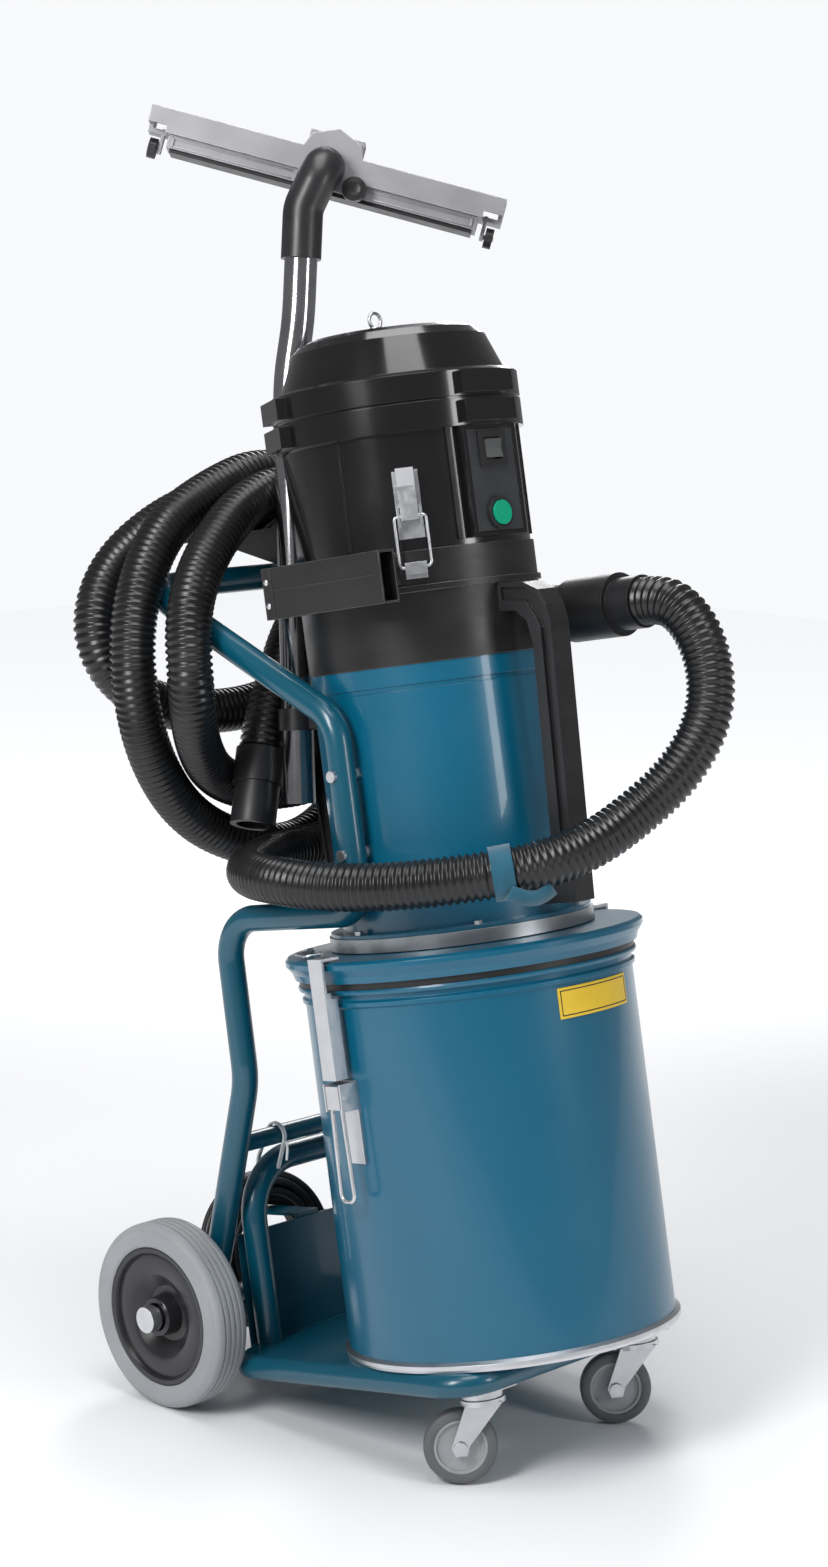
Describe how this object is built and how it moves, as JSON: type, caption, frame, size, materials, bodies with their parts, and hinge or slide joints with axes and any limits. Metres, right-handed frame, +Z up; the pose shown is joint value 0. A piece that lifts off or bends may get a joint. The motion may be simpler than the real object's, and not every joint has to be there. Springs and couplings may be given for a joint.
{
  "type": "dust collector",
  "caption": "Wheeled dust collector: motor head on a cyclone-type filter separator over a clamped drum, on a tilting tube trolley, with coiled suction hose, wand and floor tool.",
  "frame": {"origin": "middle of the footprint without the hose and cable, on the floor", "axes": "+Z up, -Y towards the casters and the control panel, +X to the side of the inlet; the machine leans back 10.8 degrees about X"},
  "size_m": [0.474, 0.7273, 1.3741],
  "materials": {
    "frame_paint": "gloss",
    "drum_paint": "gloss",
    "black_metal": "satin",
    "zinc": "satin",
    "steel_tube": "polished",
    "grey_ring": "metallic satin",
    "black_gloss": "gloss",
    "black_plastic": "satin",
    "rubber": "matt",
    "tyre_grey": "matt",
    "caster_tread": "matt",
    "cast_alu": "cast",
    "green": "gloss",
    "smoke": "gloss",
    "plate": "satin",
    "filter": "matt",
    "hose_plastic": "satin",
    "strap": "matt",
    "motor_metal": "cast"
  },
  "bodies": {
    "root": {"handle_frame": "frame_paint", "frame_braces": "frame_paint", "tray": "frame_paint", "wheel_axle": "zinc", "caster_mounts": "zinc", "drum": "drum_paint", "drum_base_ring": "zinc", "drum_lid": "drum_paint", "lid_gasket": "rubber", "fixing_screws": "zinc", "clamp_hardware": "zinc", "base_ring": "grey_ring", "separator_shell": "drum_paint", "separator_band": "black_metal", "inlet_spigot": "zinc", "deflector": "zinc", "filter_cartridge": "filter", "channel_handles": "black_plastic", "tool_bracket": "black_metal", "hose_hook": "black_metal", "head_shell": "black_gloss", "head_cover": "black_gloss", "cover_knobs": "zinc", "motor": "motor_metal", "control_panel": "black_plastic", "panel_bezels": "black_plastic", "latch_hardware": "zinc", "drum_plate": "plate", "cable_gland": "black_plastic", "wand_holders": "black_plastic", "wand": "steel_tube", "elbow": "black_plastic", "hose": "hose_plastic", "inlet_cuff": "rubber", "hose_tool_cuff": "rubber", "hose_strap": "strap", "power_cable": "rubber", "cable_coil": "rubber", "cable_tie": "strap", "mains_plug": "rubber"},
    "impeller": {"impeller": "motor_metal"},
    "rocker_switch": {"rocker_switch": "smoke"},
    "start_button": {"start_button": "green"},
    "lid_loop": {"lid_loop": "zinc"},
    "floor_tool": {"floor_tool": "cast_alu", "tool_trim": "rubber"},
    "wheel_left": {"wheel_hub_left": "black_plastic", "wheel_tyre_left": "tyre_grey"},
    "caster_left": {"caster_fork_left": "zinc"},
    "caster_wheel_left": {"caster_wheel_left": "caster_tread"},
    "clamp_lever_left": {"clamp_lever_left": "zinc"},
    "tool_wheel_left": {"tool_wheel_left": "black_plastic"},
    "wheel_right": {"wheel_hub_right": "black_plastic", "wheel_tyre_right": "tyre_grey"},
    "caster_right": {"caster_fork_right": "zinc"},
    "caster_wheel_right": {"caster_wheel_right": "caster_tread"},
    "clamp_lever_right": {"clamp_lever_right": "zinc"},
    "tool_wheel_right": {"tool_wheel_right": "black_plastic"},
    "latch_lever_front": {"latch_lever_front": "zinc"},
    "latch_lever_rear": {"latch_lever_rear": "zinc"}
  },
  "joints": [
    {"name": "wheel_left_spin", "type": "hinge", "parent": "root", "child": "wheel_left", "pos_m": [-0.2, 0.13703, 0.1], "axis": [1, 0, 0], "continuous": true},
    {"name": "caster_left_swivel", "type": "hinge", "parent": "root", "child": "caster_left", "pos_m": [-0.118, -0.24481, 0.08355], "axis": [0, 0.1874, 0.9823], "continuous": true},
    {"name": "caster_left_spin", "type": "hinge", "parent": "caster_left", "child": "caster_wheel_left", "pos_m": [-0.1378, -0.23333, 0.0381], "axis": [0.7071, 0.6946, -0.1325], "continuous": true},
    {"name": "clamp_left_swing", "type": "hinge", "parent": "root", "child": "clamp_lever_left", "pos_m": [-0.18697, -0.10464, 0.38259], "axis": [0.1045, 0.9769, -0.1864], "range_deg": [0, 120]},
    {"name": "tool_wheel_left_spin", "type": "hinge", "parent": "floor_tool", "child": "tool_wheel_left", "pos_m": [-0.04638, 0.33122, 1.32731], "axis": [0.6499, -0.7175, -0.2507], "continuous": true},
    {"name": "wheel_right_spin", "type": "hinge", "parent": "root", "child": "wheel_right", "pos_m": [0.2, 0.13703, 0.1], "axis": [1, 0, 0], "continuous": true},
    {"name": "caster_right_swivel", "type": "hinge", "parent": "root", "child": "caster_right", "pos_m": [0.118, -0.24481, 0.08355], "axis": [0, 0.1874, 0.9823], "continuous": true},
    {"name": "caster_right_spin", "type": "hinge", "parent": "caster_right", "child": "caster_wheel_right", "pos_m": [0.0982, -0.23333, 0.0381], "axis": [0.7071, 0.6946, -0.1325], "continuous": true},
    {"name": "clamp_right_swing", "type": "hinge", "parent": "root", "child": "clamp_lever_right", "pos_m": [0.18697, -0.14325, 0.38995], "axis": [-0.1045, -0.9769, 0.1864], "range_deg": [0, 120]},
    {"name": "tool_wheel_right_spin", "type": "hinge", "parent": "floor_tool", "child": "tool_wheel_right", "pos_m": [0.19668, 0.06288, 1.23355], "axis": [0.6499, -0.7175, -0.2507], "continuous": true},
    {"name": "latch_front_swing", "type": "hinge", "parent": "root", "child": "latch_lever_front", "pos_m": [-0.09263, -0.10851, 0.96157], "axis": [0.7071, -0.6946, 0.1325], "range_deg": [0, 110]},
    {"name": "latch_rear_swing", "type": "hinge", "parent": "root", "child": "latch_lever_rear", "pos_m": [0.09263, 0.07347, 0.92685], "axis": [-0.7071, 0.6946, -0.1325], "range_deg": [0, 110]},
    {"name": "impeller_spin", "type": "hinge", "parent": "root", "child": "impeller", "pos_m": [0, -0.01152, 0.97564], "axis": [0, 0.1874, 0.9823], "continuous": true},
    {"name": "rocker_tip", "type": "hinge", "parent": "root", "child": "rocker_switch", "pos_m": [0, -0.13141, 1.026], "axis": [1, 0, 0], "range_deg": [-8, 8]},
    {"name": "start_button_press", "type": "slide", "parent": "root", "child": "start_button", "axis": [0, 0.9823, -0.1874], "range_m": [0, 0.0025], "stiffness_N_per_m": 400},
    {"name": "lid_loop_swing", "type": "hinge", "parent": "root", "child": "lid_loop", "pos_m": [-0.13951, -0.02476, 0.51038], "axis": [0.4695, 0.8673, -0.1654], "range_deg": [0, 90]},
    {"name": "floor_tool_swivel", "type": "hinge", "parent": "root", "child": "floor_tool", "pos_m": [0.06415, 0.17828, 1.30564], "axis": [0.7001, 0.6935, -0.17], "range_deg": [-60, 60]}
  ]
}
